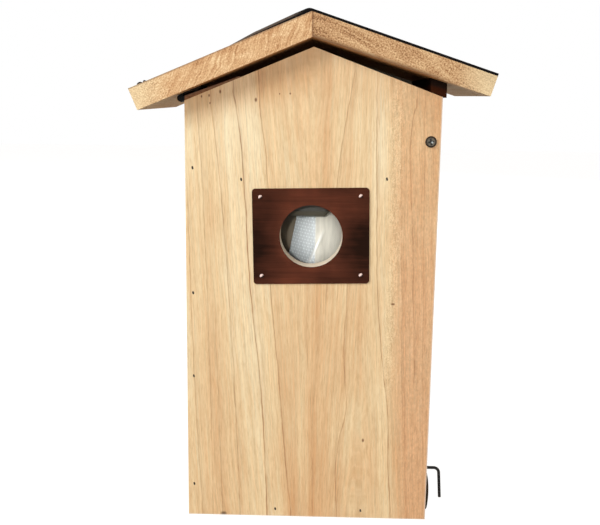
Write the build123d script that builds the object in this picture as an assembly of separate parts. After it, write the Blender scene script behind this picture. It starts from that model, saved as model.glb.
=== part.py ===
from build123d import *
import math
import os

# A small wooden birdhouse with a camera inside.
# Lengths are in millimetres and angles in degrees. The base stands on z = 0, the front faces -Y
# and the side door is on the +X side. The script puts x = 0 at the middle of the walls. The pieces
# are moved as they are written, so that the origin is under the middle of the whole object.

# Box
WALL_WIDTH = 152.4          # front and back walls, side to side
BOX_DEPTH = 122.0           # front face to back face
WALL_THICKNESS = 12.0       # front and back walls
SIDE_THICKNESS = 12.0       # left wall and side door
FLOOR_THICKNESS = 10.0
FLOOR_CLIP = 9.0            # corners clipped off the floor, for draining

# Roof
RIDGE_HEIGHT = 300.0        # underside of the roof at its ridge
RIDGE_X = -0.75             # the ridge stands a little off the middle of the walls
ROOF_ANGLE = 20.05          # each slope, before the tilts below
ROOF_TILT = 2.75            # the closed roof stands higher over the door than over the hinges
GABLE_ANGLE = 21.4          # the sawn top of the front wall
GABLE_TILT = 1.3            # that top follows the roof's tilt only in part
RIDGE_GAP = 4.7             # from the front wall's peak up to the roof's ridge
BACK_GAP = 0.2              # from the back wall's top up to the roof
ROOF_THICKNESS = 13.2
ROOF_TAPER = 1.4            # the right board is this much thinner at its eave
RIGHT_RUN = 100.3           # ridge to the lower edge of a slope, measured level before the tilt
LEFT_RUN = 102.4
FRONT_OVERHANG = 15.0
COVER_THICKNESS = 1.5       # black sheet on the right slope
COVER_LEFT_THICKNESS = 2.4  # the sheet is folded double on the left slope
COVER_ROUND = 5.0           # where the sheet bends over the ridge
COVER_CUT_START = 10.0      # from the ridge to where the sheet's front edge leaves the left board's
COVER_CUT_BEND = 34.0       # and to where it bends, this far behind the board's front
COVER_BEND_STEP = 9.0
COVER_CUT_TURN = 51.0       # and to where it turns back sharply
COVER_TURN_STEP = 28.0
COVER_SETBACK = 60.0        # how far behind it is at the left eave
REST_WIDTH = 9.4            # the strip that spaces the roof over the door
REST_OVERHANG = 2.1         # past the wall's right edge
REST_CLEARANCE = 0.4        # between that strip and the front wall's top
REST_BACK_GAP = 1.0         # between that strip and the back wall

# Entrance
HOLE_RADIUS = 19.05
HOLE_X = 0.0
HOLE_HEIGHT = 183.4
PLATE_WIDTH = 70.7
PLATE_HEIGHT = 58.6
PLATE_THICKNESS = 1.0
PLATE_CORNER = 2.0
PLATE_TURN = 1.4            # the plate is nailed on slightly askew
PIN_RADIUS = 1.3            # the domed head
PIN_SHANK_RADIUS = 0.7
PIN_INSET = 5.1             # pin to the plate's edges
PIN_DOME = 0.9
PIN_DEPTH = 8.0             # into the wall

# Side door
DOOR_GAP = 1.5              # round the door's edges
DOOR_TOP_GAP = 8.0          # under the walls' sawn tops
DOOR_FOOT_GAP = 2.0         # over the base
PIVOT_INSET = 6.0           # pivot axis to the door's outer face
PIVOT_HEIGHT = 241.3
SCREW_RADIUS = 2.0
SCREW_CLEARANCE = 0.06      # round the shank, in the walls
SCREW_HEAD_RADIUS = 3.4
SCREW_HEAD_HEIGHT = 1.6
SCREW_HEAD_ROUND = 1.3      # round its outer edge
SCREW_HEAD_GAP = 0.2        # under the head
SCREW_GRIP = 14.0           # into the door
SCREW_SINK = 2.2            # the rear screw's head is sunk, so the back lies flat
SINK_CLEARANCE = 0.5        # round that head
RECESS_LENGTH = 3.6
RECESS_WIDTH = 0.9
RECESS_DEPTH = 1.0

# Roof hinges
HINGE_LENGTH = 30.0
FRONT_HINGE_INSET = 1.0     # front wall's outer face to the first hinge's end
REAR_HINGE_INSET = 15.0     # back wall's outer face to the other hinge's end
BARREL_RADIUS = 2.1
HINGE_PIN_RADIUS = 0.8
HINGE_PIN_CLEARANCE = 0.06
BARREL_WALL_GAP = 0.3       # barrel to the left wall's outer face
LEAF_THICKNESS = 0.9
LEAF_WIDTH = 10.0           # from the barrel inwards
WEDGE_WIDTH = 33.0          # the front hinge's lower leaf lies on a long thin wedge
KNUCKLE_GAP = 0.3           # between neighbouring knuckles

# Latch on the edge of the front wall
HOOK_WIRE_RADIUS = 0.95
HOOK_HEIGHT = 33.1
HOOK_REACH = 8.2            # wall's edge to the top of the hanging leg
HOOK_DROP = 20.0
HOOK_SPLAY = 4.0            # the leg leans out
HOOK_BEND = 3.4
HOOK_DEPTH = 10.0           # into the wall
LATCH_PLATE_LENGTH = 25.6
LATCH_PLATE_WIDTH = 9.0
LATCH_PLATE_RISE = 1.8      # at its middle
LATCH_PLATE_EDGE = 0.6      # at its ends
LATCH_PLATE_HEIGHT = 17.6   # middle of the plate, over the base

# Camera
SHELF_THICKNESS = 9.0
SHELF_HEIGHT = 218.0        # middle of the shelf
CAMERA_X = -9.5
HOUSING_WIDTH = 43.0
HOUSING_DEPTH = 34.0
HOUSING_HEIGHT = 24.2       # below the shelf
HOUSING_ROUND = 4.2
HOUSING_BEVEL = 3.6         # round its bottom
BEZEL_RADIUS = 11.5
BEZEL_DEPTH = 1.6           # sunk into the housing, flush with its bottom
LENS_RADIUS = 6.0
LENS_SINK = 0.4
LENS_BEVEL = 0.8

# Mesh screen that stands against the back wall
MESH_THICKNESS = 1.2
MESH_LEFT = -18.0
MESH_FOLD_X = 2.3
MESH_RIGHT = 54.0
MESH_GAP = 4.0              # mesh to the shelf over it
MESH_CAMERA_GAP = 1.0       # the mesh's fold stands this far behind the camera

# Hanging hole in the back wall
HANG_RADIUS = 3.5
HANG_HEIGHT = 250.0

OVERRUN = 1.0               # how far a cut runs past what it cuts

# Places worked out from the sizes above
FRONT = -(BOX_DEPTH - FRONT_OVERHANG) / 2
BACK = FRONT + BOX_DEPTH
INNER_FRONT = FRONT + WALL_THICKNESS
INNER_BACK = BACK - WALL_THICKNESS
INNER_DEPTH = INNER_BACK - INNER_FRONT
SIDE = WALL_WIDTH / 2
INNER_LEFT = -SIDE + SIDE_THICKNESS
DOOR_INNER = SIDE - SIDE_THICKNESS
SHELF_RIGHT = DOOR_INNER - DOOR_GAP
SHELF_LOW = SHELF_HEIGHT - SHELF_THICKNESS / 2
ROOF_FRONT = FRONT - FRONT_OVERHANG
ROOF_DEPTH = BACK - ROOF_FRONT
SLOPE = math.tan(math.radians(ROOF_ANGLE))
ALONG = (math.cos(math.radians(ROOF_ANGLE)), math.sin(math.radians(ROOF_ANGLE)))


def turned(point, degrees):
    """A point of a section, turned about the ridge line at (0, 0)."""
    c, s = math.cos(math.radians(degrees)), math.sin(math.radians(degrees))
    return (point[0] * c - point[1] * s, point[0] * s + point[1] * c)


def eave_point(run, up):
    """The lower edge of an eave this far from the ridge, or the point this far above that edge,
    square to the slope."""
    return (run + up * ALONG[1], -run * SLOPE + up * ALONG[0])


def over_ridge(up):
    """The point of the ridge line that is this far above the underside, square to the slopes."""
    return (0.0, up / ALONG[0])


def mirrored(point):
    return (-point[0], point[1])


# Sections of both boards and of the cover, with (0, 0) at the underside of the ridge
RIGHT_SECTION = [
    over_ridge(0),
    eave_point(RIGHT_RUN, 0),
    eave_point(RIGHT_RUN, ROOF_THICKNESS - ROOF_TAPER),
    over_ridge(ROOF_THICKNESS),
]
LEFT_SECTION = [
    over_ridge(0),
    mirrored(eave_point(LEFT_RUN, 0)),
    mirrored(eave_point(LEFT_RUN, ROOF_THICKNESS)),
    over_ridge(ROOF_THICKNESS),
]
COVER_TOP = ROOF_THICKNESS + COVER_THICKNESS
COVER_LEFT_TOP = ROOF_THICKNESS + COVER_LEFT_THICKNESS
COVER_SECTION = [
    over_ridge(ROOF_THICKNESS),
    eave_point(RIGHT_RUN, ROOF_THICKNESS - ROOF_TAPER),
    eave_point(RIGHT_RUN, COVER_TOP - ROOF_TAPER),
    ((COVER_TOP - COVER_LEFT_TOP) / ALONG[1] / 2, (COVER_TOP + COVER_LEFT_TOP) / ALONG[0] / 2),
    mirrored(eave_point(LEFT_RUN, COVER_LEFT_TOP)),
    mirrored(eave_point(LEFT_RUN, ROOF_THICKNESS)),
]
ROOF_SPAN = [RIDGE_X + turned(p, ROOF_TILT)[0] for p in COVER_SECTION]
MIDDLE_X = (max(ROOF_SPAN) + min(ROOF_SPAN)) / 2


def placed(points):
    """Points of the roof's section, turned by its tilt and moved to the ridge line."""
    return [(RIDGE_X + x, RIDGE_HEIGHT + z) for x, z in (turned(p, ROOF_TILT) for p in points)]


def slope_height(x, peak_x, peak, pitch, tilt):
    """Height over the point x of a pair of slopes that tilts about its peak."""
    angle = pitch + (tilt if x < peak_x else -tilt)
    return peak - abs(x - peak_x) * math.tan(math.radians(angle))


def roof_height(x):
    """The roof's underside."""
    return slope_height(x, RIDGE_X, RIDGE_HEIGHT, ROOF_ANGLE, ROOF_TILT)


def gable_height(x):
    """The sawn top of the front wall, which the left wall's top follows."""
    return slope_height(x, 0, RIDGE_HEIGHT - RIDGE_GAP, GABLE_ANGLE, GABLE_TILT)


def extruded(points, start, depth):
    """A solid with the section points (x, z), from y = start and this deep."""
    outline = Wire.make_polygon([(x, start, z) for x, z in points])
    return Solid.extrude(Face(outline), Vector(0, depth, 0))


def block(low, high):
    """A box between two corners."""
    size = [b - a for a, b in zip(low, high)]
    return Pos(*low) * Box(*size, align=(Align.MIN, Align.MIN, Align.MIN))


def rod(radius, start, end):
    """A round bar between two points."""
    line = Vector(*end) - Vector(*start)
    return Solid.make_cylinder(radius, line.length, Plane(origin=start, z_dir=line))


# Walls

def gable_wall(start, height, peak_x):
    """A front or back wall without its holes, up to a height that depends on x."""
    section = [(-SIDE, 0), (SIDE, 0)] + [(x, height(x)) for x in (SIDE, peak_x, -SIDE)]
    return extruded(section, start, WALL_THICKNESS)


PIVOT_X = SIDE - PIVOT_INSET


def on_pivot(radius, start, end):
    """A round bar on the door's pivot line, between two values of y."""
    return rod(radius, (PIVOT_X, start, PIVOT_HEIGHT), (PIVOT_X, end, PIVOT_HEIGHT))


def pivot_bore(start):
    return on_pivot(SCREW_RADIUS + SCREW_CLEARANCE, start - OVERRUN, start + WALL_THICKNESS + OVERRUN)


def entrance_bore(start, end):
    return rod(HOLE_RADIUS, (HOLE_X, start, HOLE_HEIGHT), (HOLE_X, end, HOLE_HEIGHT))


def front_wall():
    wall = gable_wall(FRONT, gable_height, 0)
    return wall - entrance_bore(FRONT - OVERRUN, INNER_FRONT + OVERRUN) - pivot_bore(FRONT)


def back_height(x):
    return roof_height(x) - BACK_GAP


def back_wall():
    wall = gable_wall(INNER_BACK, back_height, RIDGE_X)
    hang = rod(HANG_RADIUS, (0, INNER_BACK - OVERRUN, HANG_HEIGHT), (0, BACK + OVERRUN, HANG_HEIGHT))
    sink = on_pivot(SCREW_HEAD_RADIUS + SINK_CLEARANCE, BACK - SCREW_SINK, BACK + OVERRUN)
    return wall - pivot_bore(INNER_BACK) - sink - hang


def left_wall():
    section = [
        (-SIDE, 0),
        (INNER_LEFT, 0),
        (INNER_LEFT, gable_height(INNER_LEFT)),
        (-SIDE, gable_height(-SIDE)),
    ]
    return extruded(section, INNER_FRONT, INNER_DEPTH)


def floor_board():
    board = block((INNER_LEFT, INNER_FRONT, 0), (SHELF_RIGHT, INNER_BACK, FLOOR_THICKNESS))
    return chamfer(board.edges().filter_by(Axis.Z), FLOOR_CLIP)


def camera_shelf():
    top = SHELF_LOW + SHELF_THICKNESS
    return block((INNER_LEFT, INNER_FRONT, SHELF_LOW), (SHELF_RIGHT, INNER_BACK, top))


# Side door, hung on two screws near its top

DOOR_FRONT = INNER_FRONT + DOOR_GAP
DOOR_BACK = INNER_BACK - DOOR_GAP


def screw_shank(seat, inward):
    """The round shank of a pivot screw, from under its head into the door."""
    end = DOOR_FRONT + SCREW_GRIP if inward > 0 else DOOR_BACK - SCREW_GRIP
    return on_pivot(SCREW_RADIUS, seat, end)


FRONT_SEAT = FRONT - SCREW_HEAD_GAP
BACK_SEAT = BACK - SCREW_SINK + SCREW_HEAD_GAP


def side_door():
    top = gable_height(SIDE) - DOOR_TOP_GAP
    door = block((DOOR_INNER, DOOR_FRONT, DOOR_FOOT_GAP), (SIDE, DOOR_BACK, top))
    return door - screw_shank(FRONT_SEAT, 1) - screw_shank(BACK_SEAT, -1)


def pivot_screw(seat, inward):
    """A domed head with a cross recess on a plain shank."""
    top = seat - inward * SCREW_HEAD_HEIGHT
    head = on_pivot(SCREW_HEAD_RADIUS, seat, top)
    rim = head.edges().filter_by(GeomType.CIRCLE).sort_by(Axis.Y)[0 if inward > 0 else -1]
    head = fillet(rim, SCREW_HEAD_ROUND)
    screw = head + screw_shank(seat, inward)
    for size in ((RECESS_LENGTH, RECESS_WIDTH), (RECESS_WIDTH, RECESS_LENGTH)):
        screw -= Pos(PIVOT_X, top, PIVOT_HEIGHT) * Box(size[0], 2 * RECESS_DEPTH, size[1])
    return screw


# Roof

def roof_board(section):
    return extruded(placed(section), ROOF_FRONT, ROOF_DEPTH)


def roof_cover():
    """One folded sheet. Its left half is cut back towards the eave."""
    far_left = min(ROOF_SPAN) - OVERRUN
    wedge = [
        (RIDGE_X - COVER_CUT_START, ROOF_FRONT, 0),
        (far_left, ROOF_FRONT, 0),
        (far_left, ROOF_FRONT + COVER_SETBACK, 0),
        (RIDGE_X - COVER_CUT_TURN, ROOF_FRONT + COVER_TURN_STEP, 0),
        (RIDGE_X - COVER_CUT_BEND, ROOF_FRONT + COVER_BEND_STEP, 0),
    ]
    cut = Solid.extrude(Face(Wire.make_polygon(wedge)), Vector(0, 0, 2 * RIDGE_HEIGHT))
    sheet = extruded(placed(COVER_SECTION), ROOF_FRONT, ROOF_DEPTH)
    ridge = sheet.edges().filter_by(Axis.Y).sort_by(Axis.Z)[-1]
    return fillet(ridge, COVER_ROUND) - cut


def roof_rest():
    """The strip under the right slope that stands on the walls' tops."""
    outer = SIDE + REST_OVERHANG
    inner = outer - REST_WIDTH
    low = [(x, gable_height(x) + REST_CLEARANCE) for x in (inner, outer)]
    high = [(x, roof_height(x)) for x in (outer, inner)]
    return extruded(low + high, FRONT, INNER_BACK - REST_BACK_GAP - FRONT)


# Roof hinges, with the barrel just outside the left wall's top edge

HINGE_X = -SIDE - BARREL_WALL_GAP - BARREL_RADIUS
HINGE_Z = (roof_height(HINGE_X) + gable_height(HINGE_X)) / 2
KNUCKLE = (HINGE_LENGTH - 2 * KNUCKLE_GAP) / 3
BORE_RADIUS = HINGE_PIN_RADIUS + HINGE_PIN_CLEARANCE


def on_hinge(radius, start, end):
    """A round bar on the hinge line, between two values of y."""
    return rod(radius, (HINGE_X, start, HINGE_Z), (HINGE_X, end, HINGE_Z))


def leaf(height, reach, near_up, far_up, start):
    """A leaf that lies on a sloping line, from the barrel's middle inwards, with its own height
    over that line at both ends."""
    end = HINGE_X + BARREL_RADIUS + reach
    near = (HINGE_X, height(HINGE_X))
    far = (end, height(end))
    section = [near, far, (far[0], far[1] + far_up), (near[0], near[1] + near_up)]
    return extruded(section, start, HINGE_LENGTH)


def knuckle(start):
    tube = on_hinge(BARREL_RADIUS, start, start + KNUCKLE)
    return tube - on_hinge(BORE_RADIUS, start - OVERRUN, start + KNUCKLE + OVERRUN)


def hinge_parts(start, reach):
    """The two leaves and the pin of one hinge that begins at y = start. The lower leaf has its own
    reach and fills the wedge between the wall's top and the barrel's middle."""
    end = start + HINGE_LENGTH
    second = start + KNUCKLE + KNUCKLE_GAP
    third = second + KNUCKLE + KNUCKLE_GAP
    bore = on_hinge(BORE_RADIUS, start - OVERRUN, end + OVERRUN)
    room = BARREL_RADIUS + KNUCKLE_GAP
    middle_room = on_hinge(room, second - KNUCKLE_GAP, third)
    first_room = on_hinge(room, start, second)
    last_room = on_hinge(room, third - KNUCKLE_GAP, end)
    rise = HINGE_Z - gable_height(HINGE_X) + LEAF_THICKNESS / 2
    wall_leaf = leaf(gable_height, reach, rise, LEAF_THICKNESS, start) - middle_room - bore
    wall_leaf = wall_leaf + knuckle(start) + knuckle(third)
    roof_leaf = leaf(roof_height, LEAF_WIDTH, -LEAF_THICKNESS, -LEAF_THICKNESS, start)
    roof_leaf = roof_leaf - first_room - last_room - bore + knuckle(second)
    return wall_leaf, roof_leaf, on_hinge(HINGE_PIN_RADIUS, start, end)


# Entrance plate and its pins

def plate_place(x, z):
    """A point of the plate, counted from its middle, as (x, z) on the wall."""
    dx, dz = turned((x, z), PLATE_TURN)
    return HOLE_X + dx, HOLE_HEIGHT + dz


PIN_SIDE = PLATE_WIDTH / 2 - PIN_INSET
PIN_TOP = PLATE_HEIGHT / 2 - PIN_INSET
PIN_PLACES = [(x, z) for x in (-PIN_SIDE, PIN_SIDE) for z in (-PIN_TOP, PIN_TOP)]


def pin_shank(x, z):
    px, pz = plate_place(x, z)
    return rod(PIN_SHANK_RADIUS, (px, FRONT - PLATE_THICKNESS, pz), (px, FRONT + PIN_DEPTH, pz))


def entrance_plate():
    middle = plate_place(0, 0)
    across = turned((1, 0), PLATE_TURN)
    plane = Plane((middle[0], FRONT, middle[1]), x_dir=(across[0], 0, across[1]), z_dir=(0, -1, 0))
    outline = plane * RectangleRounded(PLATE_WIDTH, PLATE_HEIGHT, PLATE_CORNER)
    plate = extrude(outline, PLATE_THICKNESS)
    plate -= entrance_bore(FRONT - PLATE_THICKNESS - OVERRUN, FRONT + OVERRUN)
    for x, z in PIN_PLACES:
        plate -= pin_shank(x, z)
    return plate


def plate_pin(x, z):
    """A nail with a low domed head, through the plate and into the wall."""
    face = FRONT - PLATE_THICKNESS
    px, pz = plate_place(x, z)
    ball_radius = (PIN_RADIUS**2 + PIN_DOME**2) / (2 * PIN_DOME)
    ball = Pos(px, face + ball_radius - PIN_DOME, pz) * Sphere(ball_radius)
    head = ball & rod(PIN_RADIUS, (px, face - PIN_DOME, pz), (px, face, pz))
    return head + pin_shank(x, z)


def plate_pins():
    return Compound([plate_pin(x, z) for x, z in PIN_PLACES])


# Latch on the right edge of the front wall

LATCH_Y = FRONT + WALL_THICKNESS / 2


def latch_hook():
    """A square-bent screw hook whose leg hangs down."""
    lean = HOOK_DROP * math.tan(math.radians(HOOK_SPLAY))
    path = FilletPolyline(
        (SIDE - HOOK_DEPTH, LATCH_Y, HOOK_HEIGHT),
        (SIDE + HOOK_REACH, LATCH_Y, HOOK_HEIGHT),
        (SIDE + HOOK_REACH + lean, LATCH_Y, HOOK_HEIGHT - HOOK_DROP),
        radius=HOOK_BEND,
    )
    section = Plane(origin=path @ 0, z_dir=path % 0) * Circle(HOOK_WIRE_RADIUS)
    return sweep(section, path=path)


def latch_plate():
    """A shallow bowed plate with rounded ends."""
    plane = Plane((SIDE, LATCH_Y, LATCH_PLATE_HEIGHT), x_dir=(0, 0, 1), z_dir=(1, 0, 0))
    outline = plane * SlotOverall(LATCH_PLATE_LENGTH, LATCH_PLATE_WIDTH)
    slab = extrude(outline, LATCH_PLATE_RISE)
    crown = LATCH_PLATE_RISE - LATCH_PLATE_EDGE
    bow = (LATCH_PLATE_LENGTH**2 / 4 + crown**2) / (2 * crown)
    middle = Vector(SIDE + LATCH_PLATE_RISE - bow, LATCH_Y, LATCH_PLATE_HEIGHT)
    half = Vector(0, LATCH_PLATE_WIDTH, 0)
    return slab & rod(bow, middle - half, middle + half)


# Camera under its shelf

CAMERA_Y = (INNER_FRONT + INNER_BACK) / 2
HOUSING_BOTTOM = SHELF_LOW - HOUSING_HEIGHT


POCKET_TOP = HOUSING_BOTTOM + BEZEL_DEPTH


def on_camera(radius, low, high):
    """A round bar on the camera's upright axis."""
    return rod(radius, (CAMERA_X, CAMERA_Y, low), (CAMERA_X, CAMERA_Y, high))


def camera_housing():
    half = (HOUSING_WIDTH / 2, HOUSING_DEPTH / 2)
    low = (CAMERA_X - half[0], CAMERA_Y - half[1], HOUSING_BOTTOM)
    body = block(low, (CAMERA_X + half[0], CAMERA_Y + half[1], SHELF_LOW))
    body = fillet(body.edges().filter_by(Axis.Z), HOUSING_ROUND)
    body = chamfer(body.edges().group_by(Axis.Z)[0], HOUSING_BEVEL)
    return body - on_camera(BEZEL_RADIUS, HOUSING_BOTTOM - OVERRUN, POCKET_TOP)


def camera_bezel():
    ring = on_camera(BEZEL_RADIUS, HOUSING_BOTTOM, POCKET_TOP)
    return ring - on_camera(LENS_RADIUS, HOUSING_BOTTOM - OVERRUN, POCKET_TOP + OVERRUN)


def camera_lens():
    barrel = on_camera(LENS_RADIUS, HOUSING_BOTTOM + LENS_SINK, POCKET_TOP)
    return chamfer(barrel.edges().sort_by(Axis.Z)[0], LENS_BEVEL)


# Mesh screen behind the entrance

def climbing_mesh():
    top = SHELF_LOW - MESH_GAP
    fold = CAMERA_Y + HOUSING_DEPTH / 2 + MESH_CAMERA_GAP
    points = [
        (MESH_LEFT, INNER_BACK),
        (MESH_FOLD_X, fold),
        (MESH_RIGHT, INNER_BACK),
        (MESH_RIGHT - 2 * MESH_THICKNESS, INNER_BACK),
        (MESH_FOLD_X, fold + MESH_THICKNESS),
        (MESH_LEFT + MESH_THICKNESS, INNER_BACK),
    ]
    outline = Wire.make_polygon([(x, y, FLOOR_THICKNESS) for x, y in points])
    return Solid.extrude(Face(outline), Vector(0, 0, top - FLOOR_THICKNESS))


def nodes():
    """Every piece by its name."""
    front_hinge = hinge_parts(FRONT + FRONT_HINGE_INSET, WEDGE_WIDTH)
    rear_hinge = hinge_parts(BACK - REAR_HINGE_INSET - HINGE_LENGTH, LEAF_WIDTH)
    return {
        "front_wall": front_wall(),
        "back_wall": back_wall(),
        "left_wall": left_wall(),
        "floor_board": floor_board(),
        "side_door": side_door(),
        "pivot_screw_front": pivot_screw(FRONT_SEAT, 1),
        "pivot_screw_back": pivot_screw(BACK_SEAT, -1),
        "roof_left_board": roof_board(LEFT_SECTION),
        "roof_right_board": roof_board(RIGHT_SECTION),
        "roof_cover": roof_cover(),
        "roof_rest": roof_rest(),
        "hinge_front_wall_leaf": front_hinge[0],
        "hinge_front_roof_leaf": front_hinge[1],
        "hinge_front_pin": front_hinge[2],
        "hinge_rear_wall_leaf": rear_hinge[0],
        "hinge_rear_roof_leaf": rear_hinge[1],
        "hinge_rear_pin": rear_hinge[2],
        "entrance_plate": entrance_plate(),
        "plate_pins": plate_pins(),
        "latch_hook": latch_hook(),
        "latch_plate": latch_plate(),
        "camera_shelf": camera_shelf(),
        "camera_housing": camera_housing(),
        "camera_bezel": camera_bezel(),
        "camera_lens": camera_lens(),
        "climbing_mesh": climbing_mesh(),
    }


os.makedirs("parts", exist_ok=True)
for name, shape in nodes().items():
    export_step(Pos(-MIDDLE_X, 0, 0) * shape, f"parts/{name}.step")
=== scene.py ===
import math

import bpy
from mathutils import Matrix, Vector


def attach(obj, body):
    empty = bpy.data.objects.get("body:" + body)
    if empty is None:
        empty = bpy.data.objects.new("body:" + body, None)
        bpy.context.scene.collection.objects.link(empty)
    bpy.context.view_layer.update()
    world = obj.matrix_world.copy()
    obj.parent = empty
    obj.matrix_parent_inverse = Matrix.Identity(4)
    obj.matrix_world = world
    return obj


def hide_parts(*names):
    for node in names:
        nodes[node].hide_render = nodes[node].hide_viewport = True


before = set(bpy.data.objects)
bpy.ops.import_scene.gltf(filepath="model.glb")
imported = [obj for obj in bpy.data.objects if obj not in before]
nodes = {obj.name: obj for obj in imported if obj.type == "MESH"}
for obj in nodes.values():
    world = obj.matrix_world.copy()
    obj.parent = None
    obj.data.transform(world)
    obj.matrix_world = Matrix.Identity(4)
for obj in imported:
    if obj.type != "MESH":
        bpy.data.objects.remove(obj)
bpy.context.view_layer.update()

# Places in millimetres. Across the front they count from the middle of the walls, which stands
# at MIDDLE on the frame's axis.
MIDDLE = 1.069
FACE = -53.5                # the front wall's outer face
ROOF_FRONT = FACE - 15.0
HALF_WIDTH = 76.2           # from the middle to a side wall's outer face
HOLE = 183.4                # the height of the entrance's middle
PIVOT = (70.2, 241.3)       # the front screw of the side door, across and up
RIDGE = -0.75               # the roof's ridge, across
LEFT_SLOPE, RIGHT_SLOPE = 22.8, -17.3       # in degrees
LEFT_RISE, RIGHT_RISE = 0.4204, 0.3115      # the same slopes, as height over width


def linear(r, g, b):
    """A colour given in the 0 to 255 values of a picture, as the shader wants it."""
    def one(v):
        v /= 255
        return v / 12.92 if v <= 0.04045 else ((v + 0.055) / 1.055) ** 2.4
    return (one(r), one(g), one(b), 1.0)


class Graph:
    """One material and short calls to build its nodes. Lengths in it are millimetres."""

    def __init__(self, name):
        self.material = bpy.data.materials.new(name)
        self.material.use_nodes = True
        self.tree = self.material.node_tree
        self.tree.nodes.clear()
        self.out = self.node("ShaderNodeOutputMaterial")
        self.shader = self.node("ShaderNodeBsdfPrincipled")
        self.put(self.shader.outputs[0], self.out.inputs["Surface"])
        coord = self.node("ShaderNodeTexCoord")
        scale = self.node("ShaderNodeVectorMath", operation="SCALE")
        self.put(coord.outputs["Object"], scale.inputs[0])
        self.put(1000, scale.inputs["Scale"])
        shift = self.node("ShaderNodeVectorMath", operation="ADD")
        self.put(scale.outputs[0], shift.inputs[0])
        self.put((-MIDDLE, 0, 0), shift.inputs[1])
        self.place = shift.outputs[0]
        self.xyz = self.split(self.place)
        self.facing = self.split(coord.outputs["Normal"])

    def node(self, kind, **settings):
        made = self.tree.nodes.new(kind)
        for key, value in settings.items():
            setattr(made, key, value)
        return made

    def put(self, value, socket):
        if isinstance(value, bpy.types.NodeSocket):
            self.tree.links.new(value, socket)
        else:
            socket.default_value = value

    def fill(self, made, *values):
        """Puts values into a node's inputs in their order, and gives its first output."""
        for value, socket in zip(values, made.inputs):
            self.put(value, socket)
        return made.outputs[0]

    def split(self, vector):
        made = self.node("ShaderNodeSeparateXYZ")
        self.put(vector, made.inputs[0])
        return made.outputs

    def join(self, x, y, z):
        return self.fill(self.node("ShaderNodeCombineXYZ"), x, y, z)

    def math(self, operation, *values):
        return self.fill(self.node("ShaderNodeMath", operation=operation), *values)

    def fold(self, operation, first, *others):
        for other in others:
            first = self.math(operation, first, other)
        return first

    def add(self, *values):
        return self.fold("ADD", *values)

    def sub(self, a, b):
        return self.math("SUBTRACT", a, b)

    def mul(self, *values):
        return self.fold("MULTIPLY", *values)

    def most(self, a, b):
        return self.math("MAXIMUM", a, b)

    def size(self, value):
        """A number without its sign."""
        return self.math("ABSOLUTE", value)

    def length(self, a, b):
        """The length of the longest side of a triangle whose other two are a and b."""
        return self.math("SQRT", self.add(self.mul(a, a), self.mul(b, b)))

    def swing(self, noise, amount):
        """Noise brought to run on either side of zero."""
        return self.mul(self.sub(noise, 0.5), amount)

    def slant(self, value, start, height, rise):
        """The height of a slanting line that passes a given height at the start."""
        return self.add(self.mul(self.sub(value, start), rise), height)

    def noise(self, vector, scale, detail, rough, distortion=0.0):
        made = self.node("ShaderNodeTexNoise")
        for name, value in (("Vector", vector), ("Scale", scale), ("Detail", detail),
                            ("Roughness", rough), ("Distortion", distortion)):
            self.put(value, made.inputs[name])
        return made.outputs[0]

    def stretched(self, place, scales, detail, rough, shift=0.0, distortion=0.0):
        """Noise with its own scale on each axis, in waves per millimetre."""
        x, y, z = (self.mul(value, scale) for value, scale in zip(place, scales))
        return self.noise(self.join(self.add(x, shift), y, z), 1.0, detail, rough, distortion)

    def span(self, value, a, b, c=0.0, d=1.0, smooth=False):
        """A value between a and b as one between c and d, held at both ends."""
        kind = "SMOOTHSTEP" if smooth else "LINEAR"
        made = self.node("ShaderNodeMapRange", clamp=True, interpolation_type=kind)
        return self.fill(made, value, a, b, c, d)

    def ramp(self, value, *stops):
        """Colours along a value, held at both ends. Each stop is (value, colour)."""
        made = self.node("ShaderNodeValToRGB")
        elements = made.color_ramp.elements
        while len(elements) > 1:
            elements.remove(elements[-1])
        for n, (place, colour) in enumerate(stops):
            element = elements[0] if n == 0 else elements.new(place)
            element.position = place
            element.color = colour
        return self.fill(made, value)

    def mix(self, factor, a, b, kind="MIX"):
        made = self.node("ShaderNodeMix", data_type="RGBA", blend_type=kind)
        self.put(factor, made.inputs[0])
        self.put(a, made.inputs[6])
        self.put(b, made.inputs[7])
        return made.outputs[2]

    def tint(self, colour, by, factor=1.0):
        """The colour times another."""
        return self.mix(factor, colour, by, "MULTIPLY")

    def shade(self, colour, factor):
        """The colour times a number."""
        return self.tint(colour, self.fill(self.node("ShaderNodeCombineColor"), *[factor] * 3))

    def bump(self, height, distance, strength):
        made = self.node("ShaderNodeBump")
        for name, value in (("Height", height), ("Distance", distance / 1000),
                            ("Strength", strength)):
            self.put(value, made.inputs[name])
        self.put(made.outputs[0], self.shader.inputs["Normal"])

    def finish(self, colour, rough, specular):
        for name, value in (("Base Color", colour), ("Roughness", rough),
                            ("Specular IOR Level", specular)):
            self.put(value, self.shader.inputs[name])
        return self.material


def dress(material, *names):
    for name in names:
        slots = nodes[name].data.materials
        if len(slots) == 0:
            slots.append(material)
        for n in range(len(slots)):
            slots[n] = material


# Wood

# Brads on the front, as (x, z). The back wall has the same, drawn in its finish.
BRADS = ((-71.8, 223.8), (-72.1, 146.9), (-72.1, 93.5), (-72.5, 21.1), (-42.5, 217.3),
         (44.9, 218.8), (-20.3, 5.0), (34.6, 5.1))
CREAM = linear(246, 228, 188)
HONEY = linear(234, 205, 160)
ORANGE = linear(214, 172, 124)
BARK = linear(160, 112, 72)


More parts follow.
